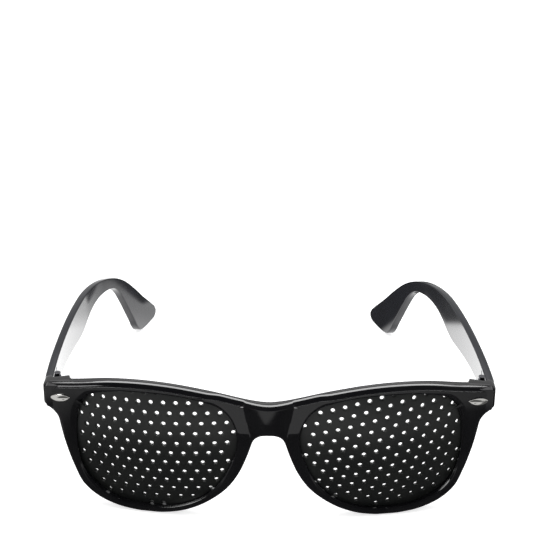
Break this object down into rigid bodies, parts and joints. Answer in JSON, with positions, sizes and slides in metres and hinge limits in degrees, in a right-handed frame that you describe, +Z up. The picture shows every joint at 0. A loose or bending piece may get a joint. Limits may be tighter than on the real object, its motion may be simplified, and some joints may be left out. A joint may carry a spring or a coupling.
{
  "type": "pinhole glasses",
  "caption": "Full-rim glasses whose lenses are domed opaque plates with a close pattern of pinholes, with bright studs and two folding temples on barrel hinges.",
  "frame": {"origin": "middle of the bounding box, on the surface that the open glasses stand on", "axes": "+Z up, +Y from the front towards the temple tips, +X to the right for someone who looks at the front"},
  "size_m": [0.1432, 0.1466, 0.0467],
  "materials": {
    "front_plastic": "polished black moulding",
    "plate_plastic": "satin black sheet",
    "stud_metal": "polished",
    "hinge_metal": "dull nickel",
    "temple_plastic": "satin black moulding"
  },
  "bodies": {
    "front": {"front_frame": "front_plastic", "pinhole_plate_left": "plate_plastic", "pinhole_plate_right": "plate_plastic", "stud_left": "stud_metal", "stud_right": "stud_metal", "front_leaf_left": "hinge_metal", "front_leaf_right": "hinge_metal", "hinge_screw_left": "hinge_metal", "hinge_screw_right": "hinge_metal"},
    "temple_left": {"temple_left": "temple_plastic", "temple_leaf_left": "hinge_metal"},
    "temple_right": {"temple_right": "temple_plastic", "temple_leaf_right": "hinge_metal"}
  },
  "joints": [
    {"name": "temple_left_fold", "type": "hinge", "parent": "front", "child": "temple_left", "pos_m": [-0.0675, -0.05602, 0.04], "axis": [0, 0, -1], "range_deg": [0, 76]},
    {"name": "temple_right_fold", "type": "hinge", "parent": "front", "child": "temple_right", "pos_m": [0.0675, -0.05602, 0.04], "axis": [0, 0, 1], "range_deg": [-3.8, 79]}
  ]
}
